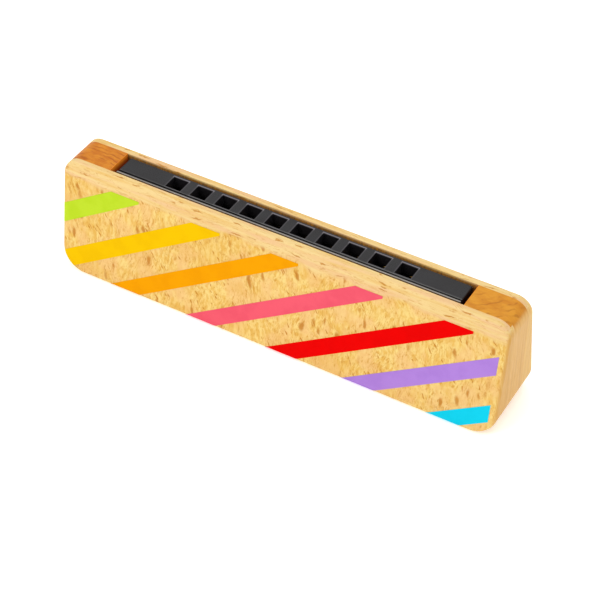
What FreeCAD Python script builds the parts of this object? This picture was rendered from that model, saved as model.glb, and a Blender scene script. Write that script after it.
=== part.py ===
"""A ten-hole toy harmonica in a wedge-shaped beech case.

Millimetres. The origin is the centre of the base the case stands on. +X runs along the case towards its
low notes, -Y is the painted front face, and +Z points up at the row of mouth holes.
"""
import FreeCAD, Part
import os

import Sketcher

DRIVING_SIZES = [
    # The case
    ("case_length", 131.0),
    ("case_height", 34.0),
    ("front_top_reach", 6.4),
    ("back_top_reach", 5.9),
    ("base_thickness", 23.6),
    ("end_block_length", 13.75),
    ("top_corner_radius", 4.5),
    ("base_corner_radius", 7.0),
    ("edge_easing", 1.0),
    # The step along the front board's inner top edge, which the end blocks fill
    ("mouth_relief_width", 0.95),
    ("mouth_relief_depth", 1.5),
    # The pocket inside each cover, which gives the reeds room and opens at the base
    ("lip_height", 3.6),
    ("pocket_depth_at_lip", 1.0),
    ("pocket_depth", 2.6),
    ("pocket_slope_height", 11.6),
    ("pocket_end_ledge", 1.25),
    # The comb
    ("insert_recess", 0.5),
    ("insert_end_gap", 1.4),
    ("comb_thickness", 6.2),
    ("comb_depth", 27.0),
    ("comb_edge_chamfer", 0.2),
    ("comb_step_width", 0.5),
    ("comb_step_depth", 0.8),
    ("hole_pitch", 7.5),
    ("hole_width", 4.6),
    ("hole_height", 4.5),
    ("mouth_rail_depth", 3.4),
    ("chamber_tip_room", 0.9),
    # The reed plates
    ("plate_thickness", 0.6),
    ("plate_depth", 26.2),
    ("draw_plate_drop", 0.8),
    # The reeds, whose tongues shorten evenly from the low note to the high one
    ("low_tongue_length", 16.5),
    ("high_tongue_length", 9.0),
    ("tongue_width", 2.2),
    ("reed_thickness", 0.25),
    ("reed_foot_size", 2.8),
    ("reed_top_room", 0.3),
    ("reed_side_clearance", 0.1),
    ("reed_face_clearance", 0.08),
    # The rivets
    ("rivet_radius", 0.45),
    ("rivet_head_radius", 0.75),
    ("rivet_crown_radius", 0.5),
    ("rivet_head_height", 0.3),
    ("rivet_fit", 0.02),
    ("rivet_reed_fit", 0.06),
    # The screws
    ("screw_radius", 0.7),
    ("screw_length", 3.3),
    ("screw_head_radius", 1.1),
    ("screw_head_height", 0.7),
    ("screw_slot_width", 0.35),
    ("screw_slot_depth", 0.3),
    ("screw_fit", 0.02),
    ("rear_screw_inset", 1.5),
    ("end_screw_top", 10.0),
    ("end_screw_bottom", 20.0),
]

HOLE_COUNT = 10
EASING_SHARE = 0.7  # the most of a cover's top edge that the easing may take
TOLERANCE = 1e-6
NEAR = 0.01  # how close an edge's ends lie to the corner they mark

# Formulas that more than one piece uses, written in the sheet's names.
HALF_LENGTH = "Sizes.case_length / 2"
COMB_FACE = "Sizes.comb_thickness / 2"
SLOT_FACE = "(Sizes.comb_thickness / 2 + Sizes.plate_thickness)"
BLOCK_FACE = "(Sizes.case_length / 2 - Sizes.end_block_length)"
COMB_END = f"({BLOCK_FACE} - Sizes.insert_end_gap)"
POCKET_END = f"({COMB_END} - Sizes.pocket_end_ledge)"
RELIEF_FACE = f"({SLOT_FACE} + Sizes.mouth_relief_width)"
RELIEF_FLOOR = "(Sizes.case_height - Sizes.mouth_relief_depth)"
POCKET_TOP = "(Sizes.case_height - Sizes.lip_height)"
INSERT_TOP = "(Sizes.case_height - Sizes.insert_recess)"
CHAMBER_TOP = f"({INSERT_TOP} - Sizes.mouth_rail_depth)"
REED_TOP = f"({CHAMBER_TOP} - Sizes.reed_top_room)"
RIVET_HEIGHT = f"({REED_TOP} - Sizes.reed_foot_size / 2)"
TONGUE_TOP = f"({REED_TOP} - Sizes.reed_foot_size)"
COMB_BOTTOM = f"({INSERT_TOP} - Sizes.comb_depth)"
OUTER_CHAMBER_EDGE = f"(Sizes.hole_pitch * {(HOLE_COUNT - 1) / 2} + Sizes.hole_width / 2)"
END_SCREW_X = f"(({OUTER_CHAMBER_EDGE} + {POCKET_END}) / 2)"

SCREW_PLACES = [
    (f"-{END_SCREW_X}", f"{INSERT_TOP} - Sizes.end_screw_top"),
    (f"-{END_SCREW_X}", f"{INSERT_TOP} - Sizes.end_screw_bottom"),
    ("0", f"{COMB_BOTTOM} + Sizes.rear_screw_inset"),
    (END_SCREW_X, f"{INSERT_TOP} - Sizes.end_screw_top"),
    (END_SCREW_X, f"{INSERT_TOP} - Sizes.end_screw_bottom"),
]


def hole_centre(number):
    """X of a mouth hole. Number 1 is the lowest note, at the +X end."""
    return f"(Sizes.hole_pitch * {(HOLE_COUNT + 1) / 2 - number})"


def tongue_tip(number):
    """Z of a reed's free end."""
    share = (number - 1) / (HOLE_COUNT - 1)
    shortening = f"(Sizes.low_tongue_length - Sizes.high_tongue_length) * {share}"
    return f"({TONGUE_TOP} - Sizes.low_tongue_length + {shortening})"


def make_sheet(doc):
    sheet = doc.addObject("Spreadsheet::Sheet", "Sizes")
    for row, (name, size) in enumerate(DRIVING_SIZES, start=1):
        sheet.set(f"A{row}", name)
        sheet.set(f"B{row}", str(size))
        sheet.setAlias(f"B{row}", name)
    doc.recompute()


def new_body(doc, name):
    body = doc.addObject("PartDesign::Body", name)
    body.Label = name
    return body


def new_sketch(body, role, offset="0"):
    """A sketch on one of the body's own origin planes, moved along the plane's normal by a formula."""
    plane = next(item for item in body.Origin.OriginFeatures if item.Role == role)
    sketch = body.newObject("Sketcher::SketchObject", f"{body.Name}_sketch")
    sketch.AttachmentSupport = [(plane, "")]
    sketch.MapMode = "FlatFace"
    sketch.setExpression("AttachmentOffset.Base.z", offset)
    return sketch


def pin_point(sketch, geometry, position, x_formula, y_formula):
    """Ties one point of a sketch to the origin by two formulas."""
    for kind, formula in (("DistanceX", x_formula), ("DistanceY", y_formula)):
        start = float(sketch.evalExpression(formula))
        index = sketch.addConstraint(Sketcher.Constraint(kind, -1, 1, geometry, position, start))
        sketch.setExpression(f"Constraints[{index}]", formula)


def start_point(sketch, x_formula, y_formula):
    """Where two formulas put a point at the sizes in the sheet."""
    return FreeCAD.Vector(float(sketch.evalExpression(x_formula)), float(sketch.evalExpression(y_formula)), 0)


def draw_outline(sketch, corners):
    """A closed run of straight lines through corners given as pairs of formulas."""
    first = sketch.GeometryCount
    count = len(corners)
    points = [start_point(sketch, *corner) for corner in corners]
    for index, point in enumerate(points):
        sketch.addGeometry(Part.LineSegment(point, points[(index + 1) % count]), False)
    for index, corner in enumerate(corners):
        following = first + (index + 1) % count
        sketch.addConstraint(Sketcher.Constraint("Coincident", first + index, 2, following, 1))
        pin_point(sketch, first + index, 1, *corner)


def draw_rectangle(sketch, left, right, low, high):
    draw_outline(sketch, [(left, low), (right, low), (right, high), (left, high)])


def draw_circle(sketch, x_formula, y_formula, radius_formula):
    radius = float(sketch.evalExpression(radius_formula))
    ring = Part.Circle(start_point(sketch, x_formula, y_formula), FreeCAD.Vector(0, 0, 1), radius)
    circle = sketch.addGeometry(ring, False)
    index = sketch.addConstraint(Sketcher.Constraint("Radius", circle, radius))
    sketch.setExpression(f"Constraints[{index}]", radius_formula)
    pin_point(sketch, circle, 3, x_formula, y_formula)


def extrude(body, kind, sketch, length, both_ways):
    """A Pad or a Pocket of a sketch."""
    feature = body.newObject(f"PartDesign::{kind}", f"{body.Name}_{kind.lower()}")
    feature.Profile = sketch
    feature.Midplane = both_ways
    feature.setExpression("Length", length)
    body.Document.recompute()
    return feature


def pocket(body, sketch, length, both_ways):
    """A Pocket that has to take something away."""
    before = body.Shape.Volume
    feature = extrude(body, "Pocket", sketch, length, both_ways)
    if feature.Shape.Volume >= before:
        raise RuntimeError(f"{feature.Name} cuts nothing")
    return feature


def edge_names(shape, wanted):
    return [f"Edge{index}" for index, edge in enumerate(shape.Edges, start=1) if wanted(edge)]


def dress_edges(body, kind, names, size_property, size_formula):
    """A Fillet or a Chamfer on the edges named."""
    base = body.Tip
    feature = body.newObject(f"PartDesign::{kind}", f"{body.Name}_{kind.lower()}")
    feature.Base = (base, names)
    feature.setExpression(size_property, size_formula)
    body.Document.recompute()
    return feature


def round_case_corners(body):
    """Rounds the case's corners, on the edges that cross its ends from front to back."""
    box = body.Shape.BoundBox
    end = max(box.XMax, -box.XMin)

    def corners_at(height):
        def is_corner(edge):
            points = [vertex.Point for vertex in edge.Vertexes]
            flat = abs(points[0].x - points[1].x) < TOLERANCE
            return flat and all(abs(abs(p.x) - end) + abs(p.z - height) < NEAR for p in points)
        return edge_names(body.Shape, is_corner)

    dress_edges(body, "Fillet", corners_at(box.ZMax), "Radius", "Sizes.top_corner_radius")
    dress_edges(body, "Fillet", corners_at(box.ZMin), "Radius", "Sizes.base_corner_radius")


def make_cover(doc, name, side, top_reach, top_inner):
    """One wedge-shaped board with a pocket in its inner face. Side is - for the front, + for the back.

    Its top strip runs from top_inner to top_reach, both measured from the middle of the case.
    """
    body = new_body(doc, name)
    inner = f"{side}{SLOT_FACE}"
    board = new_sketch(body, "YZ_Plane")
    draw_outline(board, [
        (inner, "0"),
        (f"{side}Sizes.base_thickness / 2", "0"),
        (f"{side}{top_reach}", "Sizes.case_height"),
        (inner, "Sizes.case_height"),
    ])
    extrude(body, "Pad", board, "Sizes.case_length", True)

    room = new_sketch(body, "YZ_Plane")
    draw_outline(room, [
        (inner, "0"),
        (f"{side}({SLOT_FACE} + Sizes.pocket_depth)", "0"),
        (f"{side}({SLOT_FACE} + Sizes.pocket_depth)", f"{POCKET_TOP} - Sizes.pocket_slope_height"),
        (f"{side}({SLOT_FACE} + Sizes.pocket_depth_at_lip)", POCKET_TOP),
        (inner, POCKET_TOP),
    ])
    pocket(body, room, f"2 * {POCKET_END}", True)

    round_case_corners(body)
    if side == "-":
        step = new_sketch(body, "YZ_Plane")
        draw_rectangle(step, f"-{RELIEF_FACE}", inner, RELIEF_FLOOR, "Sizes.case_height")
        pocket(body, step, "Sizes.case_length", True)

    # The board's largest face is its outer one, because the pocket takes most of the inner one.
    outer_face = max(body.Shape.Faces, key=lambda face: face.Area)
    rim = edge_names(body.Shape, lambda edge: any(edge.isSame(other) for other in outer_face.Edges))
    strip_share = f"({top_reach} - {top_inner}) * {EASING_SHARE}"
    dress_edges(body, "Fillet", rim, "Radius", f"min(Sizes.edge_easing; {strip_share})")
    return body


def make_end_block(doc, name, side):
    """The wooden spacer that closes the slot at one end, with a tongue that fills the front board's step."""
    body = new_body(doc, name)
    outline = new_sketch(body, "XZ_Plane", f"-{SLOT_FACE}")
    draw_rectangle(outline, f"{side}{BLOCK_FACE}", f"{side}{HALF_LENGTH}", "0", "Sizes.case_height")
    extrude(body, "Pad", outline, f"{SLOT_FACE} + {RELIEF_FACE}", False)
    round_case_corners(body)
    under_tongue = new_sketch(body, "YZ_Plane")
    draw_rectangle(under_tongue, f"-{RELIEF_FACE}", f"-{SLOT_FACE}", "0", RELIEF_FLOOR)
    pocket(body, under_tongue, "Sizes.case_length", True)
    return body


def make_comb(doc):
    """The moulded comb: a mouth rail with ten square holes and a chamber behind each."""
    body = new_body(doc, "comb")
    outline = new_sketch(body, "XZ_Plane")
    draw_rectangle(outline, f"-{COMB_END}", COMB_END, COMB_BOTTOM, INSERT_TOP)
    extrude(body, "Pad", outline, "Sizes.comb_thickness", True)

    step = new_sketch(body, "YZ_Plane")
    draw_rectangle(step, f"-{COMB_FACE}", f"-({COMB_FACE} - Sizes.comb_step_width)",
                   f"{INSERT_TOP} - Sizes.comb_step_depth", INSERT_TOP)
    pocket(body, step, f"2 * {COMB_END}", True)

    comb_top = float(outline.evalExpression(INSERT_TOP))
    top_rim = edge_names(body.Shape, lambda edge: abs(edge.BoundBox.ZMin - comb_top) < TOLERANCE)
    dress_edges(body, "Chamfer", top_rim, "Size", "Sizes.comb_edge_chamfer")

    chambers = new_sketch(body, "XZ_Plane")
    for number in range(1, HOLE_COUNT + 1):
        centre = hole_centre(number)
        draw_rectangle(chambers, f"{centre} - Sizes.hole_width / 2", f"{centre} + Sizes.hole_width / 2",
                       f"{tongue_tip(number)} - Sizes.chamber_tip_room", CHAMBER_TOP)
    for x_formula, z_formula in SCREW_PLACES:
        draw_circle(chambers, x_formula, z_formula, "Sizes.screw_radius + Sizes.screw_fit")
    pocket(body, chambers, "2 * Sizes.comb_thickness", True)

    mouth = new_sketch(body, "XY_Plane", INSERT_TOP)
    last = hole_centre(HOLE_COUNT)
    draw_rectangle(mouth, f"{last} - Sizes.hole_width / 2", f"{last} + Sizes.hole_width / 2",
                   "-Sizes.hole_height / 2", "Sizes.hole_height / 2")
    first_hole = pocket(body, mouth, "Sizes.mouth_rail_depth", False)

    row = body.newObject("PartDesign::LinearPattern", "mouth_row")
    row.Originals = [first_hole]
    row.Direction = (mouth, ["H_Axis"])
    row.setExpression("Length", f"Sizes.hole_pitch * {HOLE_COUNT - 1}")
    row.Occurrences = HOLE_COUNT
    body.Tip = row
    doc.recompute()
    return body


def make_reed_plate(doc, name, back_offset, top):
    """A flat plate with a slot and a rivet hole for each reed. The offset runs towards the front."""
    body = new_body(doc, name)
    outline = new_sketch(body, "XZ_Plane", back_offset)
    draw_rectangle(outline, f"-{COMB_END}", COMB_END, f"{INSERT_TOP} - Sizes.plate_depth", top)
    extrude(body, "Pad", outline, "Sizes.plate_thickness", False)

    cuts = new_sketch(body, "XZ_Plane", back_offset)
    half_slot = "(Sizes.tongue_width / 2 + Sizes.reed_side_clearance)"
    for number in range(1, HOLE_COUNT + 1):
        centre = hole_centre(number)
        draw_rectangle(cuts, f"{centre} - {half_slot}", f"{centre} + {half_slot}",
                       f"{tongue_tip(number)} - Sizes.reed_side_clearance", TONGUE_TOP)
        draw_circle(cuts, centre, RIVET_HEIGHT, "Sizes.rivet_radius + Sizes.rivet_fit")
    for x_formula, z_formula in SCREW_PLACES:
        draw_circle(cuts, x_formula, z_formula, "Sizes.screw_radius + Sizes.screw_fit")
    pocket(body, cuts, "4 * Sizes.plate_thickness", True)
    return body


def make_reed(doc, name, number, back_offset):
    """A thin tongue with a wider riveted foot."""
    body = new_body(doc, name)
    outline = new_sketch(body, "XZ_Plane", back_offset)
    centre = hole_centre(number)
    foot_left, foot_right = (f"{centre} {way} Sizes.reed_foot_size / 2" for way in "-+")
    tongue_left, tongue_right = (f"{centre} {way} Sizes.tongue_width / 2" for way in "-+")
    tip = tongue_tip(number)
    draw_outline(outline, [
        (tongue_left, tip),
        (tongue_right, tip),
        (tongue_right, TONGUE_TOP),
        (foot_right, TONGUE_TOP),
        (foot_right, REED_TOP),
        (foot_left, REED_TOP),
        (foot_left, TONGUE_TOP),
        (tongue_left, TONGUE_TOP),
    ])
    draw_circle(outline, centre, RIVET_HEIGHT, "Sizes.rivet_radius + Sizes.rivet_reed_fit")
    extrude(body, "Pad", outline, "Sizes.reed_thickness", False)
    return body


def turned_piece(doc, kind, name, x_formula, y_formula, z_formula, way, sizes):
    """A Part::Cylinder or Part::Cone that runs along Y, forwards for - and backwards for +."""
    piece = doc.addObject(f"Part::{kind}", name)
    axis = FreeCAD.Vector(0, -1 if way == "-" else 1, 0)
    piece.Placement = FreeCAD.Placement(FreeCAD.Vector(), FreeCAD.Rotation(FreeCAD.Vector(0, 0, 1), axis))
    for place, formula in zip("xyz", (x_formula, y_formula, z_formula)):
        piece.setExpression(f"Placement.Base.{place}", formula)
    for size_name, formula in sizes.items():
        piece.setExpression(size_name, formula)
    return piece


def make_group(doc, name, pieces):
    """Joins touching pieces, and keeps those apart as separate solids of one group."""
    group = doc.addObject("Part::MultiFuse", name)
    group.Label = name
    group.Shapes = pieces
    return group


def make_rivets(doc, name, head_side, head_face, foot_face):
    """Ten rivets. The head stands on the reeds' side of the plate, the foot on its other side."""
    foot_side = "+" if head_side == "-" else "-"
    crown = {"Radius1": "Sizes.rivet_head_radius", "Radius2": "Sizes.rivet_crown_radius",
             "Height": "Sizes.rivet_head_height"}
    shank = {"Radius": "Sizes.rivet_radius",
             "Height": "Sizes.plate_thickness + Sizes.reed_thickness + 2 * Sizes.reed_face_clearance"}
    pieces = []
    for number in range(1, HOLE_COUNT + 1):
        centre = hole_centre(number)
        pieces.append(turned_piece(doc, "Cylinder", f"{name}_shank_{number}", centre, foot_face, RIVET_HEIGHT,
                                   head_side, shank))
        pieces.append(turned_piece(doc, "Cone", f"{name}_head_{number}", centre, head_face, RIVET_HEIGHT,
                                   head_side, crown))
        pieces.append(turned_piece(doc, "Cone", f"{name}_foot_{number}", centre, foot_face, RIVET_HEIGHT,
                                   foot_side, crown))
    return make_group(doc, name, pieces)


def make_screws(doc, name, side):
    """Five slotted screws that hold one reed plate to the comb."""
    inwards = "+" if side == "-" else "-"
    head_top = f"{side}({SLOT_FACE} + Sizes.screw_head_height)"
    screws = []
    for number, (x_formula, z_formula) in enumerate(SCREW_PLACES, start=1):
        label = f"{name}_{number}"
        shank = turned_piece(doc, "Cylinder", f"{label}_shank", x_formula, f"{side}{SLOT_FACE}", z_formula,
                             inwards, {"Radius": "Sizes.screw_radius", "Height": "Sizes.screw_length"})
        head = turned_piece(doc, "Cylinder", f"{label}_head", x_formula, head_top, z_formula, inwards,
                            {"Radius": "Sizes.screw_head_radius", "Height": "Sizes.screw_head_height"})
        slot = doc.addObject("Part::Box", f"{label}_slot")
        slot.setExpression("Length", "2 * Sizes.screw_head_radius")
        slot.setExpression("Width", "2 * Sizes.screw_slot_depth")
        slot.setExpression("Height", "Sizes.screw_slot_width")
        slot.setExpression("Placement.Base.x", f"{x_formula} - Sizes.screw_head_radius")
        slot.setExpression("Placement.Base.y", f"{head_top} - Sizes.screw_slot_depth")
        slot.setExpression("Placement.Base.z", f"{z_formula} - Sizes.screw_slot_width / 2")
        slotted = doc.addObject("Part::Cut", f"{label}_slotted_head")
        slotted.Base = head
        slotted.Tool = slot
        screws += [shank, slotted]
    return make_group(doc, name, screws)


def check_document(doc, nodes):
    """Stops unless every object recomputed and every node is sound."""
    failed = [item.Name for item in doc.Objects if {"Invalid", "Error"} & set(item.State)]
    if failed:
        raise RuntimeError(f"failed objects: {failed}")
    for node in nodes:
        if node.Shape.isNull() or not node.Shape.isValid() or not node.Shape.Solids:
            raise RuntimeError(f"{node.Label} has no sound shape")


def main():
    doc = FreeCAD.newDocument("harmonica")
    make_sheet(doc)

    # Reeds lie on the face of their plate that the air pushes them away from: the blow reeds on the
    # front plate's inner face, inside the chambers, and the draw reeds on the back plate's outer face.
    blow_reed_offset = f"{COMB_FACE} - Sizes.reed_face_clearance - Sizes.reed_thickness"
    draw_reed_offset = f"-({SLOT_FACE} + Sizes.reed_face_clearance + Sizes.reed_thickness)"
    stack = "(Sizes.reed_thickness + 2 * Sizes.reed_face_clearance)"

    nodes = [
        make_cover(doc, "front_cover", "-", "Sizes.front_top_reach", RELIEF_FACE),
        make_cover(doc, "back_cover", "+", "Sizes.back_top_reach", SLOT_FACE),
        make_end_block(doc, "left_end_block", "-"),
        make_end_block(doc, "right_end_block", "+"),
        make_comb(doc),
        make_reed_plate(doc, "blow_reed_plate", COMB_FACE, INSERT_TOP),
        make_reed_plate(doc, "draw_reed_plate", f"-{SLOT_FACE}", f"{INSERT_TOP} - Sizes.draw_plate_drop"),
        make_rivets(doc, "blow_reed_rivets", "+", f"-{COMB_FACE} + {stack}", f"-{SLOT_FACE}"),
        make_rivets(doc, "draw_reed_rivets", "+", f"{SLOT_FACE} + {stack}", COMB_FACE),
        make_screws(doc, "blow_plate_screws", "-"),
        make_screws(doc, "draw_plate_screws", "+"),
    ]
    for number in range(1, HOLE_COUNT + 1):
        nodes.append(make_reed(doc, f"blow_reed_{number}", number, blow_reed_offset))
        nodes.append(make_reed(doc, f"draw_reed_{number}", number, draw_reed_offset))

    doc.recompute()
    check_document(doc, nodes)
    os.makedirs("parts", exist_ok=True)
    for node in nodes:
        node.Shape.exportStep(f"parts/{node.Label}.step")
        box = node.Shape.BoundBox
        print(f"{node.Label}: {len(node.Shape.Solids)} solids, {node.Shape.Volume:.2f} mm3, "
              f"{box.XLength:.2f} x {box.YLength:.2f} x {box.ZLength:.2f} mm")


main()
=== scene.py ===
"""Looks of a ten-hole toy harmonica in a wedge-shaped beech case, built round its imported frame.

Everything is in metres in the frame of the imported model: +X runs along the case towards the low notes, -Y is
the painted front face, +Z points up at the mouth holes, and the case stands on z = 0.
"""

import logging
import math
from dataclasses import dataclass, field
from enum import Enum
from typing import Any, Sequence

import bmesh
import bpy
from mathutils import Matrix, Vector

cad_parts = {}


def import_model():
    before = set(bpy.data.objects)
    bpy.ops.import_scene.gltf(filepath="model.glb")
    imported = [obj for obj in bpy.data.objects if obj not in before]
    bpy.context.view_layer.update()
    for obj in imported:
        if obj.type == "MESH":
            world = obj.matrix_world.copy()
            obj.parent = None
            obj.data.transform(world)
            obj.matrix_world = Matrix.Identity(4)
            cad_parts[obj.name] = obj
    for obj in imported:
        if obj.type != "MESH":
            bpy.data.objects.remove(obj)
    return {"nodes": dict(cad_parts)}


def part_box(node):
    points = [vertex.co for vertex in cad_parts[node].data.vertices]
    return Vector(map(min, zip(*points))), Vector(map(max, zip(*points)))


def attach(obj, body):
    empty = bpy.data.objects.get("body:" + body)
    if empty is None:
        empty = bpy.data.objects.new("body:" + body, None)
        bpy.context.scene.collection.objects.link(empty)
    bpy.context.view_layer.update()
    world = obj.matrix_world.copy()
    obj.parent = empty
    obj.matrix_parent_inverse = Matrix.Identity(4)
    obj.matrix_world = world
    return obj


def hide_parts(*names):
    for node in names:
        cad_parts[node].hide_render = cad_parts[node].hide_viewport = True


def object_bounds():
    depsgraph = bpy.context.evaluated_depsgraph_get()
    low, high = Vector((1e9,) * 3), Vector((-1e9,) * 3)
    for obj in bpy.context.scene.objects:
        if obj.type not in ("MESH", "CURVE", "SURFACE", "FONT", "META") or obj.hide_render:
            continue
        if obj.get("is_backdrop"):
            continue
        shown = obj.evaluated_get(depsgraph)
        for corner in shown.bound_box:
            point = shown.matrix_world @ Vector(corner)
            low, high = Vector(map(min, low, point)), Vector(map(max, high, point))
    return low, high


LOG = logging.getLogger("harmonica")

MM = 0.001
# Points closer than this are one point, and faces that meet at less than this are one face.
WELD = 0.001 * MM
FLAT_ANGLE = math.radians(0.5)
# Edges that turn by more than these count as sharp, and as square.
SHARP_ANGLE = math.radians(35)
SQUARE_ANGLE = math.radians(60)
# How much a large flat face counts, out of 100, in the shading of its neighbours.
FLAT_WEIGHT = 90
# A noise's values mostly keep between these two.
NOISE_LOW, NOISE_HIGH = 0.3, 0.7
# A mark fades out and is full this far from its cell's point, as shares of the cell.
MARK_EDGE, MARK_CORE = 0.46, 0.18
# How far apart Blender draws a wave's rings at a scale of 1.
RING_PERIOD = 0.314
HOUSING = "housing"


class Axis(Enum):
    """A direction of the frame, by its place in a vector."""

    X = 0
    Y = 1
    Z = 2


class Swing(Enum):
    """The two kinds of reed, by the breath that sounds them."""

    BLOW = "blow"
    DRAW = "draw"


# ---------------------------------------------------------------------------------------------------------
# Colour and node helpers


def linear(hex_colour: str) -> tuple[float, float, float, float]:
    """Turns an sRGB hex colour into linear light, by the standard's own curve.

    Args:
        hex_colour: six hex digits with a leading hash.

    Returns:
        Red, green, blue, and an alpha of 1.
    """
    parts = []
    for start in (1, 3, 5):
        value = int(hex_colour[start:start + 2], 16) / 255
        parts.append(value / 12.92 if value <= 0.04045 else ((value + 0.055) / 1.055) ** 2.4)
    return parts[0], parts[1], parts[2], 1.0


def add_node(
    tree: bpy.types.NodeTree,
    kind: str,
    settings: dict[str | int, Any] | None = None,
    links: dict[str | int, bpy.types.NodeSocket] | None = None,
) -> bpy.types.Node:
    """Adds one node to a material.

    Args:
        tree: the material's node tree.
        kind: the node's Blender type.
        settings: values by property name, or by the name or number of an input.
        links: sockets that feed inputs, by the input's name or number.

    Returns:
        The new node.
    """
    node = tree.nodes.new(kind)
    for key, value in (settings or {}).items():
        if isinstance(key, int) or key in node.inputs:
            node.inputs[key].default_value = value
        else:
            setattr(node, key, value)
    for key, source in (links or {}).items():
        tree.links.new(source, node.inputs[key])
    return node


@dataclass
class Painter:
    """A material being made, with the few steps that its finishes repeat."""

    name: str
    material: bpy.types.Material = field(init=False)
    tree: bpy.types.NodeTree = field(init=False)
    place: bpy.types.NodeSocket = field(init=False)

    def __post_init__(self) -> None:
        """Starts an empty node tree whose place socket gives the surface's point in millimetres."""
        self.material = bpy.data.materials.new(self.name)
        self.material.use_nodes = True
        self.tree = self.material.node_tree
        self.tree.nodes.clear()
        coordinates = add_node(self.tree, "ShaderNodeTexCoord")
        scaled = add_node(self.tree, "ShaderNodeVectorMath", {"operation": "SCALE", "Scale": 1 / MM},
                          {0: coordinates.outputs["Object"]})
        self.place = scaled.outputs[0]

    def stretched(self, sizes: Sequence[float], tilt: Sequence[float] = (0, 0, 0),
                  place: bpy.types.NodeSocket | None = None) -> bpy.types.NodeSocket:
        """Divides the place by a size in millimetres along each axis, so that a pattern has that size.

        Args:
            sizes: the pattern's size along X, Y and Z, in millimetres.
            tilt: a turn of the pattern about each axis, in degrees.
            place: the place to use, if not the surface's own.

        Returns:
            The scaled place.
        """
        turned = add_node(self.tree, "ShaderNodeMapping",
                          {"vector_type": "POINT", "Rotation": tuple(math.radians(angle) for angle in tilt)},
                          {"Vector": place or self.place})
        return add_node(self.tree, "ShaderNodeVectorMath", {"operation": "DIVIDE", 1: tuple(sizes)},
                        {0: turned.outputs[0]}).outputs[0]

    def noise(self, sizes: Sequence[float], detail: float = 2.0,
              place: bpy.types.NodeSocket | None = None) -> bpy.types.NodeSocket:
        """A cloudy value whose blotches have the given sizes in millimetres."""
        return add_node(self.tree, "ShaderNodeTexNoise", {"Scale": 1.0, "Detail": detail},
                        {"Vector": self.stretched(sizes, place=place)}).outputs["Fac"]

    def between(self, value: bpy.types.NodeSocket, low: float, high: float,
                bottom: float = 0.0, top: float = 1.0) -> bpy.types.NodeSocket:
        """Eases a value from bottom, where it is low, to top, where it is high."""
        return add_node(self.tree, "ShaderNodeMapRange",
                        {"interpolation_type": "SMOOTHSTEP", "From Min": low, "From Max": high,
                         "To Min": bottom, "To Max": top}, {"Value": value}).outputs[0]

    def gloss(self, value: bpy.types.NodeSocket, smooth: float, rough: float) -> bpy.types.NodeSocket:
        """Turns a noise into a roughness that varies between two values."""
        return self.between(value, NOISE_LOW, NOISE_HIGH, smooth, rough)

    def math(self, operation: str, first: bpy.types.NodeSocket,
             second: bpy.types.NodeSocket | float = 0.0) -> bpy.types.NodeSocket:
        """Joins two values, or a value and a number, by one of Blender's math operations."""
        settings: dict[str | int, Any] = {"operation": operation}
        links: dict[str | int, bpy.types.NodeSocket] = {0: first}
        if isinstance(second, float):
            settings[1] = second
        else:
            links[1] = second
        return add_node(self.tree, "ShaderNodeMath", settings, links).outputs[0]

    def blend(self, amount: bpy.types.NodeSocket, under: bpy.types.NodeSocket | str,
              over: bpy.types.NodeSocket | str) -> bpy.types.NodeSocket:
        """Lays one colour over another by an amount from 0 to 1. A text colour is sRGB hex."""
        settings: dict[str | int, Any] = {"data_type": "RGBA"}
        links = {0: amount}
        for socket, colour in ((6, under), (7, over)):
            if isinstance(colour, str):
                settings[socket] = linear(colour)
            else:
                links[socket] = colour
        return add_node(self.tree, "ShaderNodeMix", settings, links).outputs[2]

    def lay(self, pattern: "Cloud | Marks", under: bpy.types.NodeSocket | str,
            over: bpy.types.NodeSocket | str,
            place: bpy.types.NodeSocket | None = None) -> bpy.types.NodeSocket:
        """Lays one colour over another where a pattern is drawn."""
        return self.blend(pattern.draw(self, place), under, over)

    def axis(self, axis: Axis, place: bpy.types.NodeSocket | None = None) -> bpy.types.NodeSocket:
        """The surface point's distance along one axis, in millimetres."""
        parts = add_node(self.tree, "ShaderNodeSeparateXYZ", links={0: place or self.place})
        return parts.outputs[axis.value]

    def wobble(self, size: float, reach: float,
               place: bpy.types.NodeSocket | None = None) -> bpy.types.NodeSocket:
        """Pushes the place about by up to a reach, in swirls of a size, both in millimetres."""
        swirl = add_node(self.tree, "ShaderNodeTexNoise", {"Scale": 1.0, "Detail": 1.0},
                         {"Vector": self.stretched((size,) * 3, place=place)})
        centred = add_node(self.tree, "ShaderNodeVectorMath", {"operation": "SUBTRACT", 1: (0.5, 0.5, 0.5)},
                           {0: swirl.outputs["Color"]})
        return add_node(self.tree, "ShaderNodeVectorMath", {"operation": "MULTIPLY_ADD", 1: (reach * 2,) * 3},
                        {0: centred.outputs[0], 2: place or self.place}).outputs[0]

    def dashes(self, sizes: Sequence[float], share: float, tilt: Sequence[float] = (0, 0, 0),
               place: bpy.types.NodeSocket | None = None) -> bpy.types.NodeSocket:
        """Scattered short marks: one may sit in each cell of the sizes given.

        Args:
            sizes: the cells' size along X, Y and Z, in millimetres.
            share: how many of the cells hold a mark, from 0 to 1.
            tilt: a turn of the marks about each axis, in degrees.
            place: the place to use, if not the surface's own.

        Returns:
            A value from 0 to 1, which is highest in the middle of a dark mark.
        """
        cells = add_node(self.tree, "ShaderNodeTexVoronoi", {"feature": "F1", "Scale": 1.0},
                         {"Vector": self.stretched(sizes, tilt, place)})
        marks = self.between(cells.outputs["Distance"], MARK_EDGE, MARK_CORE)
        chance = add_node(self.tree, "ShaderNodeSeparateColor", links={0: cells.outputs["Color"]}).outputs[0]
        chosen = self.between(chance, share, share * 0.5)
        return self.math("MULTIPLY", marks, chosen)

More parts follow.
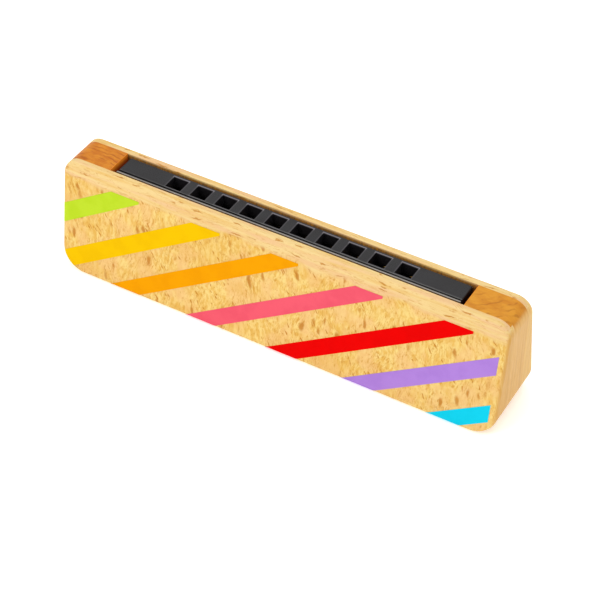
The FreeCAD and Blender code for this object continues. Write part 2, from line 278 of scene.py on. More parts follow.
    def finish(self, colour: bpy.types.NodeSocket | str, settings: dict[str | int, Any],
               roughness: bpy.types.NodeSocket | None = None, height: bpy.types.NodeSocket | None = None,
               depth: float = 0.02) -> bpy.types.Material:
        """Closes the material with its shader.

        Args:
            colour: the surface colour.
            settings: constants set on the shader's own sockets.
            roughness: a value that varies the gloss.
            height: a value from 0 to 1 that raises the surface.
            depth: how far the height raises it, in millimetres.

        Returns:
            The finished material.
        """
        links: dict[str | int, bpy.types.NodeSocket] = {}
        if isinstance(colour, str):
            settings = {"Base Color": linear(colour), **settings}
        else:
            links["Base Color"] = colour
        if roughness is not None:
            links["Roughness"] = roughness
        if height is not None:
            bump = add_node(self.tree, "ShaderNodeBump", {"Strength": 1.0, "Distance": depth * MM},
                            {"Height": height})
            links["Normal"] = bump.outputs[0]
        shader = add_node(self.tree, "ShaderNodeBsdfPrincipled", settings, links)
        add_node(self.tree, "ShaderNodeOutputMaterial", links={"Surface": shader.outputs[0]})
        return self.material


@dataclass(frozen=True)
class Cloud:
    """A soft, patchy layer.

    It has blotches of the given sizes in millimetres. Where the noise is at low, the layer has its least
    strength, and where it is at high, its most.
    """

    sizes: tuple[float, float, float]
    detail: float
    low: float
    high: float
    most: float = 1.0
    least: float = 0.0

    def draw(self, paint: Painter, place: bpy.types.NodeSocket | None = None) -> bpy.types.NodeSocket:
        """Returns how strong the layer is at each point."""
        cloudy = paint.noise(self.sizes, self.detail, place)
        return paint.between(cloudy, self.low, self.high, self.least, self.most)


@dataclass(frozen=True)
class Marks:
    """A layer of scattered short marks.

    They lie in cells of the given sizes in millimetres, of which a share holds one, and lean by an angle in
    degrees about Y.
    """

    sizes: tuple[float, float, float]
    share: float
    lean: float
    strength: float

    def shapes(self, paint: Painter, place: bpy.types.NodeSocket | None = None) -> bpy.types.NodeSocket:
        """Returns the marks at full strength."""
        return paint.dashes(self.sizes, self.share, (0, self.lean, 0), place)

    def draw(self, paint: Painter, place: bpy.types.NodeSocket | None = None) -> bpy.types.NodeSocket:
        """Returns how strong the layer is at each point."""
        return paint.math("MULTIPLY", self.shapes(paint, place), self.strength)


# ---------------------------------------------------------------------------------------------------------
# Finishes

SATIN = Cloud((0.6, 0.6, 3), 2, NOISE_LOW, NOISE_HIGH, 0.54, 0.42)
LACQUER = {"IOR": 1.5, "Specular IOR Level": 0.22}


@dataclass(frozen=True)
class LacqueredBeech:
    """European beech, planed, sanded and sprayed with a satin clear lacquer.

    Beech is pale straw to pink, with no bold figure. What the eye reads is its rays: brown flecks, up to 3 mm
    long, that lie along the grain, and the short pores between them. The grain stands upright in the faces
    and runs lengthwise along the mouth edge. The slot's walls are painted darker, as painted shade in the
    narrow slot.

    The first five fields place these parts on the case, in millimetres: its top, its ends, the slot's front
    and back walls, and the slot's ends. Of the layers, those named edge and end are the mouth edge's and the
    ends', and the slot's streaky layer lies in its painted shade. A bend and a fray push the grain about: each
    has a swirl's size and a reach. Lengths are in millimetres, and a pair of them is where a part starts to
    show and where it is full.
    """

    top: float
    end: float
    slot_front: float
    slot_back: float
    slot_end: float

    pale: str = "#DDC276"
    warm: str = "#CC9B3A"
    blush: str = "#D9B074"
    pore: str = "#B87E18"
    ray: str = "#AC6C06"
    edge_pale: str = "#D8BC80"
    edge_blush: str = "#D6AE80"
    end_block: str = "#CFA25B"
    end_front: str = "#C8984B"
    end_back: str = "#D5AA60"
    end_dark: str = "#B7853C"
    # Painted shade: the dark colour laid on the slot's walls.
    slot_shade: str = "#6E4A22"

    grain: Cloud = Cloud((0.9, 0.9, 2.4), 4, 0.34, 0.68, 0.8)
    blushes: Cloud = Cloud((6, 6, 9), 3, 0.42, 0.64, 0.7)
    shades: Cloud = Cloud((13, 13, 8), 3, 0.46, 0.66, 0.3)
    lines: Cloud = Cloud((0.30, 0.30, 2.6), 3, 0.48, 0.66)
    line_patches: Cloud = Cloud((5, 5, 7), 2, 0.42, 0.60, 0.65, 0.10)
    pores: Marks = Marks((0.40, 0.40, 1.0), 0.5, 9, 0.4)
    specks: Marks = Marks((0.8, 0.8, 2.2), 0.18, -12, 0.6)
    flecks: Marks = Marks((0.62, 0.62, 3.4), 0.17, 30, 0.9)
    rays: Marks = Marks((1.8, 1.8, 5.0), 0.27, 8, 0.85)
    edge_grain: Cloud = Cloud((14, 0.9, 0.9), 4, 0.40, 0.70, 0.5)
    edge_blushes: Cloud = Cloud((18, 1.8, 1.8), 2, 0.45, 0.65, 0.8)
    edge_threads: Cloud = Cloud((7, 0.26, 0.26), 3, 0.52, 0.74, 0.55)
    edge_streaks: Marks = Marks((6.0, 0.75, 0.75), 0.32, 0, 0.8)
    end_grain: Cloud = Cloud((3, 0.7, 16), 3, 0.40, 0.72, 0.45)
    end_hairs: Cloud = Cloud((3, 0.22, 7), 2, 0.5, 0.7, 0.35)
    slot_shade_streaks: Cloud = Cloud((0.4, 0.4, 2.5), 3, 0.35, 0.7)

    end_fade: tuple[float, float] = (1.0, 0.2)
    band: float = 4.4
    band_fade: float = 0.9
    block_fade: float = 0.5
    wall_depth: float = 0.12
    wall_skin: float = 0.02
    arris: float = 0.05
    arris_fade: float = 0.75
    slot_end_fade: float = 0.1
    # How strong the painted shade on the slot's walls is.
    slot_shade_strength: float = 0.9
    ray_relief: float = 0.6
    relief: float = 0.03
    bend: tuple[float, float] = (10.0, 2.2)
    fray: tuple[float, float] = (1.1, 0.30)

    def face(self, paint: Painter, rough: bpy.types.NodeSocket) -> bpy.types.NodeSocket:
        """Returns the colour of the boards' broad faces, with upright grain.

        Args:
            paint: the material being made.
            rough: the place, pushed about as the grain is.
        """
        colour = paint.lay(self.grain, self.pale, self.warm, rough)
        colour = paint.lay(self.blushes, colour, self.blush)
        colour = paint.lay(self.shades, colour, self.warm)
        lines = paint.math("MULTIPLY", self.lines.draw(paint, rough), self.line_patches.draw(paint))
        colour = paint.blend(lines, colour, self.pore)
        for marks, dark in ((self.pores, self.pore), (self.specks, self.pore),
                            (self.flecks, self.ray), (self.rays, self.ray)):
            colour = paint.lay(marks, colour, dark, rough)
        return colour

    def mouth_edge(self, paint: Painter, rough: bpy.types.NodeSocket) -> bpy.types.NodeSocket:
        """Returns the colour of the strip along the mouth edge, with lengthwise grain."""
        colour = paint.lay(self.edge_grain, self.edge_pale, self.warm)
        colour = paint.lay(self.edge_blushes, colour, self.edge_blush)
        colour = paint.lay(self.edge_threads, colour, self.pore, rough)
        return paint.lay(self.edge_streaks, colour, self.ray, rough)

    def end_face(self, paint: Painter) -> bpy.types.NodeSocket:
        """Returns the colour of the case's ends, where front board, block and back board differ a little."""
        depth = paint.axis(Axis.Y)
        on_block, on_back = (paint.between(depth, wall - self.block_fade, wall + self.block_fade)
                             for wall in (self.slot_front, self.slot_back))
        colour = paint.blend(on_block, self.end_front, self.end_block)
        colour = paint.blend(on_back, colour, self.end_back)
        colour = paint.lay(self.end_grain, colour, self.end_dark)
        return paint.lay(self.end_hairs, colour, self.edge_pale)

    def slot_shade_mask(self, paint: Painter) -> bpy.types.NodeSocket:
        """Returns a value that is high on the slot's walls, where they are painted darker as painted shade."""
        depth = paint.axis(Axis.Y)
        behind_front = paint.between(depth, self.slot_front - self.wall_depth,
                                     self.slot_front - self.wall_skin)
        before_back = paint.between(depth, self.slot_back + self.wall_depth, self.slot_back + self.wall_skin)
        reach = paint.math("ABSOLUTE", paint.axis(Axis.X))
        along = paint.between(reach, self.slot_end + self.slot_end_fade, self.slot_end)
        below = paint.between(paint.axis(Axis.Z), self.top - self.arris, self.top - self.arris_fade)
        inside = paint.math("MULTIPLY", paint.math("MULTIPLY", behind_front, before_back),
                            paint.math("MULTIPLY", along, below))
        return paint.math("MULTIPLY", inside, self.slot_shade_strength)

    def build(self) -> bpy.types.Material:
        """Returns the material."""
        paint = Painter("beech_lacquered")
        rough = paint.wobble(*self.fray, paint.wobble(*self.bend))
        fold = self.top - self.band
        in_strip = paint.between(paint.axis(Axis.Z, rough), fold - self.band_fade, fold + self.band_fade)
        body = paint.blend(in_strip, self.face(paint, rough), self.mouth_edge(paint, rough))
        reach = paint.math("ABSOLUTE", paint.axis(Axis.X))
        on_end = paint.between(reach, *(self.end - depth for depth in self.end_fade))
        colour = paint.blend(on_end, body, self.end_face(paint))
        # Painted shade on the slot's walls, with faint streaks in it.
        colour = paint.blend(self.slot_shade_mask(paint), colour, paint.lay(self.slot_shade_streaks, self.slot_shade, self.ray))
        lines = paint.noise(self.lines.sizes, self.lines.detail, rough)
        rays = paint.math("MULTIPLY", self.rays.shapes(paint, rough), self.ray_relief)
        height = paint.math("SUBTRACT", lines, rays)
        return paint.finish(colour, LACQUER, SATIN.draw(paint), height, self.relief)


@dataclass(frozen=True)
class HeartBeech:
    """Darker beech for the blocks that fill the case's ends, sanded flush and lacquered.

    The blocks show end grain on the mouth edge: orange, with year rings drawn as dark curved lines. On the
    case's ends and near its base they are as pale as the boards, and on the slot's ends they carry painted
    shade that darkens them with depth. Lengths are in millimetres, and a pair of them is where a part starts
    to show and where it is full.
    """

    name: str
    light: str
    deep: str
    ring: str
    ring_centre: tuple[float, float, float]
    ring_spacing: float
    top: float
    end: float
    slot_end: float

    end_tan: str = "#CFA25B"
    end_dark: str = "#B7853C"
    # The slot ends' colour, from orange at the top to a dark red foot: painted shade that deepens into the
    # slot.
    wall: str = "#E88420"
    wall_foot_shade: str = "#B8400F"

    tone: Cloud = Cloud((4, 2.0, 8), 4, 0.34, 0.68)
    ring_strength: Cloud = Cloud((3, 2, 8), 2, 0.38, 0.66, 0.7, 0.05)
    threads: Cloud = Cloud((4, 0.26, 6), 3, 0.5, 0.72, 0.5)
    end_grain: Cloud = Cloud((3, 0.8, 16), 3, 0.38, 0.70, 0.5)
    relief: float = 0.02
    fray: tuple[float, float] = (2.6, 0.7)
    end_fade: tuple[float, float] = (1.1, 0.2)
    base_part: tuple[float, float] = (24, 27)
    wall_skin: tuple[float, float] = (0.14, 0.04)
    wall_shade: tuple[float, float] = (0.3, 2.4)
    ring_start: float = 0.55

    def rings(self, paint: Painter, rough: bpy.types.NodeSocket) -> bpy.types.NodeSocket:
        """Returns how dark the year rings are at each point."""
        shift = add_node(paint.tree, "ShaderNodeVectorMath", {"operation": "SUBTRACT", 1: self.ring_centre},
                         {0: rough})
        waves = add_node(paint.tree, "ShaderNodeTexWave",
                         {"wave_type": "RINGS", "rings_direction": "Z",
                          "Scale": RING_PERIOD / self.ring_spacing,
                          "Distortion": 6.0, "Detail": 4.0, "Detail Scale": 0.6},
                         {"Vector": shift.outputs[0]})
        return paint.math("MULTIPLY", paint.between(waves.outputs["Fac"], self.ring_start, 1.0),
                          self.ring_strength.draw(paint))

    def build(self) -> bpy.types.Material:
        """Returns the material."""
        paint = Painter(self.name)
        rough = paint.wobble(*self.fray)
        colour = paint.lay(self.tone, self.light, self.deep, rough)
        colour = paint.blend(self.rings(paint, rough), colour, self.ring)
        threads = self.threads.draw(paint, rough)
        colour = paint.blend(threads, colour, self.deep)

        reach, height = paint.math("ABSOLUTE", paint.axis(Axis.X)), paint.axis(Axis.Z)
        near_base = paint.between(height, *(self.top - depth for depth in self.base_part))
        near_end = paint.between(reach, *(self.end - depth for depth in self.end_fade))
        on_end = paint.math("MAXIMUM", near_end, near_base)
        colour = paint.blend(on_end, colour, paint.lay(self.end_grain, self.end_tan, self.end_dark))
        on_wall = paint.between(reach, *(self.slot_end + depth for depth in self.wall_skin))
        # Painted shade: the slot's ends darken towards their foot.
        painted_wall_shade = paint.between(height, *(self.top - depth for depth in self.wall_shade))
        colour = paint.blend(on_wall, colour, paint.blend(painted_wall_shade, self.wall, self.wall_foot_shade))
        return paint.finish(colour, LACQUER, SATIN.draw(paint), threads, self.relief)


@dataclass(frozen=True)
class StripePaint:
    """Toy enamel, screen printed in one flat coat: opaque and dead matt, with a faint mottle."""

    name: str
    colour: str
    shade: str
    mottle: Cloud = Cloud((5, 5, 5), 3, 0.4, 0.65)
    peel_size: float = 0.5
    peel_depth: float = 0.006
    smooth: float = 0.55
    rough: float = 0.66

    def build(self) -> bpy.types.Material:
        """Returns the material."""
        paint = Painter(f"enamel_{self.name}")
        peel = paint.noise((self.peel_size,) * 3)
        return paint.finish(paint.lay(self.mottle, self.colour, self.shade),
                            {"IOR": 1.48, "Specular IOR Level": 0.02},
                            paint.gloss(peel, self.smooth, self.rough), peel, self.peel_depth)


@dataclass(frozen=True)
class MouldedAbs:
    """Black ABS, injection moulded in a lightly sparked tool: satin, so it greys under a broad light.

    A painted highlight lies in a narrow grey band round each mouth hole, brightest on the back side, where the
    hole's edge faces the light.
    The spark grain is drawn coarser than real, so that it shows. Lengths are in millimetres.
    """

    name: str = "abs_black_moulded"
    colour: str = "#171517"
    bloom: str = "#1C1B1E"
    blooms: Cloud = Cloud((7, 7, 7), 3, 0.35, 0.7)
    spark_size: float = 0.18
    spark_depth: float = 0.008
    smooth: float = 0.27
    rough: float = 0.37

    # Painted highlight: the grey of the band round each mouth hole.
    rim_highlight: str = "#6A666C"
    near_side_highlight: float = 0.22
    highlight_start: float = 1.4
    highlight_full: float = 2.3
    pitch: float = 7.5
    hole_width: float = 4.6
    hole_height: float = 4.5
    band: float = 0.34
    band_core: float = 0.204
    row_end: float = 36.8
    top: float = 33.4
    fade: float = 0.2

    def painted_rim_highlight(self, paint: Painter) -> bpy.types.NodeSocket:
        """Returns how strong the painted highlight is at each point: only in a band round each hole, and only
        on the comb's top.
        """
        along = paint.math("ABSOLUTE", paint.axis(Axis.X))
        depth = paint.axis(Axis.Y)
        step = paint.math("SUBTRACT", paint.math("MODULO", along, self.pitch), self.pitch / 2)
        beside = paint.math("SUBTRACT", paint.math("ABSOLUTE", step), self.hole_width / 2)
        across = paint.math("SUBTRACT", paint.math("ABSOLUTE", depth), self.hole_height / 2)
        near = paint.between(paint.math("MAXIMUM", beside, across), self.band, self.band_core)
        in_row = paint.between(along, self.row_end, self.row_end - self.fade)
        on_top = paint.between(paint.axis(Axis.Z), self.top - self.fade, self.top)
        # The painted highlight is weaker on the near side of each hole and full on the far side.
        far_side_highlight = paint.between(depth, self.highlight_start, self.highlight_full, self.near_side_highlight, 1.0)
        return paint.math("MULTIPLY", paint.math("MULTIPLY", near, in_row),
                          paint.math("MULTIPLY", on_top, far_side_highlight))

    def build(self) -> bpy.types.Material:
        """Returns the material."""
        paint = Painter(self.name)
        spark = paint.noise((self.spark_size,) * 3)
        tone = paint.blend(self.painted_rim_highlight(paint), paint.lay(self.blooms, self.colour, self.bloom), self.rim_highlight)
        return paint.finish(tone, {"IOR": 1.54, "Specular IOR Level": 0.36},
                            paint.gloss(spark, self.smooth, self.rough), spark, self.spark_depth)


@dataclass(frozen=True)
class BrushedMetal:
    """Sheet or wire metal with fine scratches along one way, which streak its highlights, and soft stains.

    The scratches' sizes are in millimetres.
    """

    name: str
    light: str
    deep: str
    scratch: tuple[float, float, float]
    smooth: float = 0.24
    rough: float = 0.40
    stains: Cloud = Cloud((9, 9, 9), 3, 0.4, 0.7, 0.5)
    scratch_depth: float = 0.004

    def build(self) -> bpy.types.Material:
        """Returns the material."""
        paint = Painter(self.name)
        scratches = paint.noise(self.scratch, 3)
        colour = self.edge(paint, paint.lay(self.stains, self.light, self.deep))
        return paint.finish(colour, {"Metallic": 1.0}, paint.gloss(scratches, self.smooth, self.rough),
                            scratches, self.scratch_depth)

    def edge(self, paint: Painter, colour: bpy.types.NodeSocket) -> bpy.types.NodeSocket:
        """Returns the colour with any painted shade on its edge. Plain metal has none."""
        return colour


@dataclass(frozen=True)
class PlateWithEdgeShade(BrushedMetal):
    """Nickelled plate, whose top edge is painted dark on the half that lies against the comb: painted shade in
    the narrow gap there.
    """

    # Painted shade: the dark colour on the inner half of the plate's top edge.
    gap_shade: str = "#2E2B2A"
    gap_shade_from: float = 3.34
    gap_shade_fade: float = 0.1
    top: float = 32.4
    top_fade: float = 0.2

    def edge(self, paint: Painter, colour: bpy.types.NodeSocket) -> bpy.types.NodeSocket:
        """Returns the colour, with painted shade on the side of the top edge that lies against the comb."""
        depth = paint.math("ABSOLUTE", paint.axis(Axis.Y))
        inner = paint.between(depth, self.gap_shade_from, self.gap_shade_from - self.gap_shade_fade)
        on_top = paint.between(paint.axis(Axis.Z), self.top - self.top_fade, self.top)
        return paint.blend(paint.math("MULTIPLY", inner, on_top), colour, self.gap_shade)


@dataclass(frozen=True)
class PaleFloor:
    """A seamless sheet of matt white acrylic, faintly lit from below so that it keeps shadows light."""

    colour: str = "#FBFAF8"
    glow: float = 0.25
    tooth_size: float = 0.8
    smooth: float = 0.85
    rough: float = 0.95

    def build(self) -> bpy.types.Material:
        """Returns the material."""
        paint = Painter("acrylic_matt_white")
        settings = {"Specular IOR Level": 0.2, "Emission Color": linear(self.colour),
                    "Emission Strength": self.glow}
        tooth = paint.noise((self.tooth_size,) * 3)
        return paint.finish(self.colour, settings, paint.gloss(tooth, self.smooth, self.rough))


# ---------------------------------------------------------------------------------------------------------
# Mesh helpers


def new_piece(name: str, mesh: bpy.types.Mesh, material: bpy.types.Material, body: str) -> bpy.types.Object:
    """Makes an object of a mesh, dresses it and rides it on its body.

    Args:
        name: the piece's name.
        mesh: its mesh, in the frame.
        material: its finish.
        body: the body it moves with.

    Returns:
        The piece.
    """
    piece = bpy.data.objects.new(name, mesh)
    bpy.context.scene.collection.objects.link(piece)
    mesh.materials.append(material)
    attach(piece, body)
    LOG.info("piece %s on %s: %d faces", name, body, len(mesh.polygons))
    return piece


def joined_up(node: str) -> bmesh.types.BMesh:
    """Reads a frame node's mesh with its seams welded and its flat faces whole.

    Args:
        node: the node's name.

    Returns:
        A mesh in edit form, which the caller frees.
    """
    work = bmesh.new()
    work.from_mesh(FRAME_NODES[node].data)
    bmesh.ops.remove_doubles(work, verts=work.verts, dist=WELD)
    bmesh.ops.dissolve_limit(work, angle_limit=FLAT_ANGLE, verts=work.verts, edges=work.edges)
    return work


def cut(work: bmesh.types.BMesh, point: Sequence[float], across: Sequence[float], trim: bool = False) -> None:
    """Cuts every face of a mesh along a plane.

    Args:
        work: the mesh in edit form.
        point: a point of the plane.
        across: the plane's normal.
        trim: whether what lies behind the plane goes.
    """
    geometry = work.verts[:] + work.edges[:] + work.faces[:]
    bmesh.ops.bisect_plane(work, geom=geometry, plane_co=point, plane_no=across, clear_inner=trim)


def ease_edges(work: bmesh.types.BMesh, width: float, segments: int, limit: float) -> None:
    """Rounds the sharp edges of a mesh, more narrowly where short edges leave no room.

    Args:
        work: the mesh in edit form.
        width: the rounding's greatest width, in metres.
        segments: how many facets it has.
        limit: the smallest angle that counts as sharp.
    """
    sharp = [edge for edge in work.edges if edge.is_manifold and edge.calc_face_angle() > limit]
    bmesh.ops.bevel(work, geom=sharp, offset=width, segments=segments, profile=0.5, affect="EDGES",
                    offset_type="OFFSET", clamp_overlap=True)


def to_mesh(work: bmesh.types.BMesh, name: str, closed: bool = True) -> bpy.types.Mesh:
    """Turns an edit mesh into a smooth-shaded one.

    Args:
        work: the mesh in edit form, which is freed.
        name: the new mesh's name.
        closed: whether it is a solid. A solid's faces are turned outward, and its sharp edges stay sharp.

    Returns:
        The new mesh.
    """
    if closed:
        bmesh.ops.recalc_face_normals(work, faces=work.faces)
    mesh = bpy.data.meshes.new(name)
    work.to_mesh(mesh)
    work.free()
    for polygon in mesh.polygons:
        polygon.use_smooth = True
    if closed:
        mesh.set_sharp_from_angle(angle=SHARP_ANGLE)
    return mesh


def even_shading(piece: bpy.types.Object) -> None:
    """Lets flat faces set the shading of the roundings beside them."""
    shade = piece.modifiers.new("even_shading", "WEIGHTED_NORMAL")
    shade.keep_sharp = True
    shade.weight = FLAT_WEIGHT


def eased_piece(node: str, name: str, material: bpy.types.Material, width: float,
                segments: int = 2, limit: float = SHARP_ANGLE) -> None:
    """Replaces a fixed frame node by a piece of the same shape with eased edges.

    Args:
        node: the node's name.
        name: the piece's name.
        material: its finish.
        width: the edges' greatest width, in metres.
        segments: how many facets they have.
        limit: the smallest angle that counts as sharp.
    """
    work = joined_up(node)
    ease_edges(work, width, segments, limit)
    piece = new_piece(name, to_mesh(work, node), material, HOUSING)
    even_shading(piece)
    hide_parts(node)


def stand(thing: bpy.types.Object, target: Vector, azimuth: float, elevation: float, distance: float) -> None:
    """Stands a lamp or a camera off from a target, facing it.

    Args:
        thing: the lamp or camera.
        target: the point it faces.
        azimuth: its way round in degrees: 0 is in front of the painted face, 90 at +X.
        elevation: its height angle in degrees.
        distance: how far off it stands, in metres.
    """
    turn, rise = math.radians(azimuth), math.radians(elevation)
    back = Vector((math.sin(turn) * math.cos(rise), -math.cos(turn) * math.cos(rise), math.sin(rise)))
    thing.location = target + back * distance
    thing.rotation_mode = "QUATERNION"
    thing.rotation_quaternion = (-back).to_track_quat("-Z", "Y")
    bpy.context.scene.collection.objects.link(thing)


# ---------------------------------------------------------------------------------------------------------
# The object

FRAME_NODES: dict[str, bpy.types.Object] = {}


@dataclass(frozen=True)
class Stripe:
    """One printed stripe: its paint, where its left edge starts along the top, and its width there.

    Both lengths are in metres.
    """

    paint: StripePaint
    left: float
    width: float


@dataclass
class Case:
    """The wooden case: two wedge boards, two end blocks, and the stripes printed on the front board.

    The stripes lean by an angle in degrees, start a little below the mouth edge and end short of the right
    end. Their sharp right tips are blunt. Faces that look further from the front than facing stay bare.
    """

    seam_easing: float = 0.06 * MM
    film: float = 0.04 * MM
    stripe_angle: float = 31.0
    stripe_top: float = 4.8 * MM
    stripe_right: float = 63.5 * MM
    blunt_tip: float = 1.2 * MM
    facing: float = 0.35
    stripes: tuple[Stripe, ...] = (
        Stripe(StripePaint("lime", "#ADC82A", "#A8C423"), -50.1 * MM, 10.0 * MM),
        Stripe(StripePaint("yellow", "#DCB000", "#D8AB00"), -25.0 * MM, 9.9 * MM),
        Stripe(StripePaint("orange", "#DC9200", "#D88D00"), -1.0 * MM, 9.2 * MM),
        Stripe(StripePaint("pink", "#DA5466", "#D64F62"), 23.3 * MM, 9.0 * MM),
        Stripe(StripePaint("red", "#D40000", "#CF0000"), 48.1 * MM, 9.1 * MM),
        Stripe(StripePaint("purple", "#A078C8", "#9B73C4"), 70.9 * MM, 9.2 * MM),
        Stripe(StripePaint("cyan", "#0EBDD8", "#0CB9D4"), 95.4 * MM, 8.9 * MM),
    )

    def build(self) -> None:
        """Builds the boards, the blocks and the stripes."""
        _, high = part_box("front_cover")
        block_low, block_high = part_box("left_end_block")
        slot_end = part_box("right_end_block")[0][0] / MM
        top, end = high[2] / MM, high[0] / MM
        beech = LacqueredBeech(top, end, block_low[1] / MM, block_high[1] / MM, slot_end).build()
        eased_piece("front_cover", "front_cover_board", beech, self.seam_easing)
        eased_piece("back_cover", "back_cover_board", beech, self.seam_easing)
        hearts = {
            "left_end_block": HeartBeech("beech_heart_left", "#C97F1F", "#B46410", "#984C09",
                                         (-58, -60, 0), 1.5, top, end, slot_end),
            "right_end_block": HeartBeech("beech_heart_right", "#CA8922", "#BB7617", "#A2620F",
                                          (44, 14, 0), 1.7, top, end, slot_end),
        }
        for node, heart in hearts.items():
            eased_piece(node, f"{node}_wood", heart.build(), self.seam_easing)
        for stripe in self.stripes:
            self.build_stripe(stripe)

    def build_stripe(self, stripe: Stripe) -> None:
        """Prints one diagonal stripe as a thin film that follows the front board and its rounded rim."""
        work = joined_up("front_cover")
        outer = max(work.faces, key=lambda face: face.calc_area() * (face.normal.y < -self.facing))
        across = Vector((1, 0, 0))
        normal = outer.normal.copy()
        down = across.cross(normal).normalized()
        if down.z > 0:
            down.negate()
        top_edge = max((vert.co.copy() for vert in outer.verts), key=lambda point: point.z)
        crest = top_edge - down * self.rim_above(work, outer)
        crest.x = 0

        angle = math.radians(self.stripe_angle)
        outward = across * math.sin(angle) + down * math.cos(angle)
        start = crest + down * self.stripe_top + across * stripe.left
        cuts = [
            (start, outward),
            (start + across * stripe.width, -outward),
            (start + across * (stripe.width - self.blunt_tip), -across),
            (crest + down * self.stripe_top, down),
            (crest + across * self.stripe_right, -across),
        ]
        for point, keep in cuts:
            cut(work, point, keep, trim=True)
        away = [face for face in work.faces if face.normal.y > -self.facing]
        bmesh.ops.delete(work, geom=away, context="FACES")
        bmesh.ops.remove_doubles(work, verts=work.verts, dist=WELD)
        name = f"stripe_{stripe.paint.name}"
        sheet = to_mesh(work, name, closed=False)
        piece = new_piece(name, sheet, stripe.paint.build(), HOUSING)
        film = piece.modifiers.new("film", "SOLIDIFY")
        film.thickness = self.film
        film.offset = 1.0
        even_shading(piece)

    def rim_above(self, work: bmesh.types.BMesh, outer: bmesh.types.BMFace) -> float:
        """How far the sharp top edge would stand above the flat of the front face, had it not been eased."""
        flat_top = max(vert.co.z for vert in outer.verts)
        return (max(vert.co.z for vert in work.verts) - flat_top) / math.sqrt(1 - outer.normal.z ** 2)


@dataclass
class Comb:
    """The black moulded comb, with ten mouth holes and the chamber behind each.

    Its edges stay almost sharp: the holes leave room for a rounding of about 0.01 mm, whatever the radius.
    """

    holes: int = 10
    pitch: float = 7.5 * MM
    edge_radius: float = 0.26 * MM

    def centre(self, number: int) -> float:
        """X of a mouth hole. Number 1 is the lowest note, at the +X end."""
        return self.pitch * ((self.holes + 1) / 2 - number)

    def build(self) -> None:
        """Eases the square moulded edges."""
        eased_piece("comb", "comb_moulded", MouldedAbs().build(), self.edge_radius, 1,
                    SQUARE_ANGLE)


@dataclass
class Reeds:
    """The two plates, their reeds, the rivets under each reed's foot, and the screws.

    A reed is as thick as the frame's at its foot and tip, is thinned by a share of that between them, and is
    set off from its plate by a gap at the tip.
    """

    comb: Comb
    plate_easing: float = 0.05 * MM
    screw_easing: float = 0.08 * MM
    cuts: int = 14
    foot: float = 2.8 * MM
    set_gap: float = 0.22 * MM
    thinning: float = 0.44
    dome: float = 0.3 * MM
    dome_steps: int = 6
    shank: float = 0.45 * MM
    rivet_segments: int = 24

    def build(self) -> None:
        """Builds the plates, the screws, the reeds and the rivets."""
        nickel = PlateWithEdgeShade("brass_plate_nickelled", "#A8A29B", "#8E8880", (9, 0.12, 0.12)).build()
        brass = BrushedMetal("brass_reed_milled", "#D8B462", "#B98F42", (0.08, 0.3, 2.5), 0.2, 0.36).build()
        upset = BrushedMetal("brass_rivet_upset", "#C9A055", "#A87F3C", (0.3, 0.3, 0.3), 0.28, 0.45).build()
        zinc = BrushedMetal("steel_screw_zinc", "#BFC2C6", "#9A9DA3", (0.4, 0.4, 0.4), 0.28, 0.46).build()
        for swing in Swing:
            plate, screws = f"{swing.value}_reed_plate", f"{swing.value}_plate_screws"
            eased_piece(plate, f"{plate}_punched", nickel, self.plate_easing)
            eased_piece(screws, f"{screws}_turned", zinc, self.screw_easing, 3)
            self.build_rivets(swing, upset)
            for number in range(1, self.comb.holes + 1):
                self.build_reed(swing, number, brass)

    def build_reed(self, swing: Swing, number: int, material: bpy.types.Material) -> None:
        """Makes one reed, filed thinner along its middle and set with a gap at its tip.

        Args:
            swing: which of the two plates it sits on.
            number: its hole.
            material: its finish.
        """
        node = f"{swing.value}_reed_{number}"
        low, high = (Vector(corner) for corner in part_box(node))
        root = high.z - self.foot
        length = root - low.z
        work = joined_up(node)
        for step in range(1, self.cuts):
            cut(work, (0, 0, root - length * step / self.cuts), (0, 0, 1))
        for vert in work.verts:
            along = (root - vert.co.z) / length
            if along > 0:
                filed = 1 - self.thinning * math.sin(math.pi * min(1.0, along)) ** 2
                vert.co.y = low.y + (vert.co.y - low.y) * filed + self.set_gap * along ** 2
        piece = new_piece(f"{node}_tongue", to_mesh(work, node), material, node)
        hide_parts(node)

    def build_rivets(self, swing: Swing, material: bpy.types.Material) -> None:
        """Makes ten rivets with domed heads by turning one outline round each rivet's axis.

        Args:
            swing: which of the two plates they hold.
            material: their finish.
        """
        node = f"{swing.value}_reed_rivets"
        low, high = (Vector(corner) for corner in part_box(node))
        height = (low.z + high.z) / 2
        radius = (high.z - low.z) / 2
        turns = [math.pi / 2 * step / self.dome_steps for step in range(self.dome_steps + 1)]
        profile = [(radius * math.sin(turn), low.y + self.dome * (1 - math.cos(turn))) for turn in turns]
        profile += [(self.shank, low.y + self.dome), (self.shank, high.y - self.dome)]
        profile += [(radius * math.cos(turn), high.y - self.dome * (1 - math.sin(turn))) for turn in turns]
        work = bmesh.new()
        for number in range(1, self.comb.holes + 1):
            centre = Vector((self.comb.centre(number), 0, height))
            points = [work.verts.new(centre + Vector((out, y, 0))) for out, y in profile]
            edges = [work.edges.new(pair) for pair in zip(points, points[1:])]
            bmesh.ops.spin(work, geom=points + edges, cent=centre, axis=(0, 1, 0), angle=2 * math.pi,
                           steps=self.rivet_segments, use_duplicate=False)
        bmesh.ops.remove_doubles(work, verts=work.verts, dist=WELD)
        piece = new_piece(f"{node}_domed", to_mesh(work, node), material, HOUSING)
        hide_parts(node)


# ---------------------------------------------------------------------------------------------------------
# The studio


@dataclass
class Softbox:
    """One broad square area light: its angles in degrees, distance and size in metres, and power in watts."""

    name: str
    azimuth: float
    elevation: float
    distance: float
    size: float
    power: float
    colour: str = "#FFFFFF"

    def build(self, centre: Vector) -> None:
        """Hangs the light, facing a centre."""
        data = bpy.data.lights.new(self.name, "AREA")
        data.shape = "SQUARE"
        data.size = self.size
        data.energy = self.power
        data.color = linear(self.colour)[:3]
        stand(bpy.data.objects.new(self.name, data), centre, self.azimuth, self.elevation, self.distance)


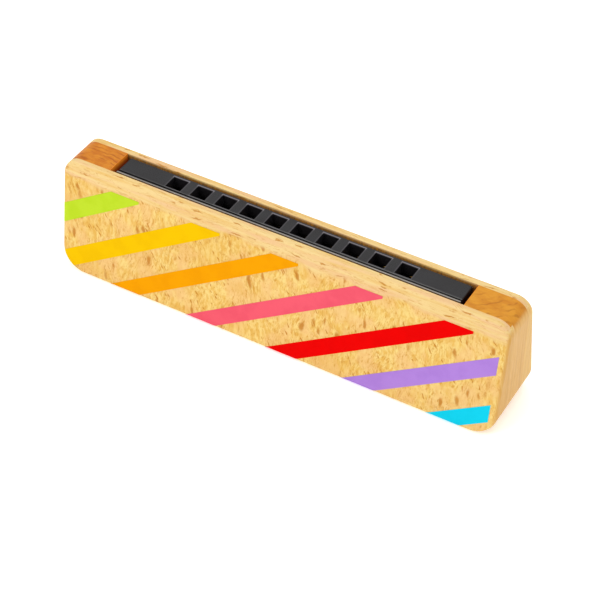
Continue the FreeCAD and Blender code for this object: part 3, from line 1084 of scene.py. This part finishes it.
@dataclass
class Studio:
    """A pale floor, soft lights and the camera.

    The camera stands off by two angles in degrees and a distance in metres, and aims at a point given from
    the middle of the mouth edge. Its lens and sensor are in millimetres.
    """

    azimuth: float = 30.32
    elevation: float = 42.32
    distance: float = 458.73 * MM
    lens: float = 110.0
    sensor: float = 36.0
    nearest: float = 0.01
    aim: tuple[float, float, float] = (7.76 * MM, -9.59 * MM, -13.4 * MM)
    floor_size: float = 4.0
    ambient: float = 0.80
    lights: tuple[Softbox, ...] = (
        Softbox("key", -32, 42, 0.9, 0.5, 3.15, "#FFFDF8"),
        Softbox("fill", 62, 34, 1.0, 0.8, 0.95),
        Softbox("top", 150, 72, 0.9, 0.8, 2.6),
    )

    def build(self) -> None:
        """Lays the floor, hangs the lights and sets the camera up."""
        low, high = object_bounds()
        centre = (Vector(low) + Vector(high)) / 2
        crest = Vector((centre.x, centre.y, high[2]))
        self.build_floor(low[2])
        for light in self.lights:
            light.build(centre)
        world = bpy.data.worlds.new("studio")
        world.use_nodes = True
        background = world.node_tree.nodes["Background"]
        background.inputs["Color"].default_value = linear("#FFFFFF")
        background.inputs["Strength"].default_value = self.ambient
        scene = bpy.context.scene
        scene.world = world
        scene.view_settings.view_transform = "Standard"
        scene.view_settings.look = "None"
        scene.camera = self.build_camera(crest)

    def build_floor(self, height: float) -> None:
        """Lays the acrylic sheet under the object."""
        half = self.floor_size / 2
        work = bmesh.new()
        corners = ((-half, -half), (half, -half), (half, half), (-half, half))
        work.faces.new([work.verts.new((x, y, height)) for x, y in corners])
        mesh = bpy.data.meshes.new("floor")
        work.to_mesh(mesh)
        work.free()
        mesh.materials.append(PaleFloor().build())
        floor = bpy.data.objects.new("floor", mesh)
        bpy.context.scene.collection.objects.link(floor)
        floor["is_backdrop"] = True

    def build_camera(self, crest: Vector) -> bpy.types.Object:
        """Sets the camera up at its angle to the case.

        Args:
            crest: the middle of the mouth edge.

        Returns:
            The camera.
        """
        data = bpy.data.cameras.new("camera")
        data.lens = self.lens
        data.sensor_width = self.sensor
        data.clip_start = self.nearest
        camera = bpy.data.objects.new("camera", data)
        stand(camera, crest + Vector(self.aim), self.azimuth, self.elevation, self.distance)
        return camera


def main() -> None:
    """Builds the harmonica round its frame, then the studio."""
    logging.basicConfig(level=logging.INFO, format="%(name)s: %(message)s")
    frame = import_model()
    FRAME_NODES.update(frame["nodes"])
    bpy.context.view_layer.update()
    comb = Comb()
    Case().build()
    comb.build()
    Reeds(comb).build()
    Studio().build()


if __name__ == "__main__":
    main()
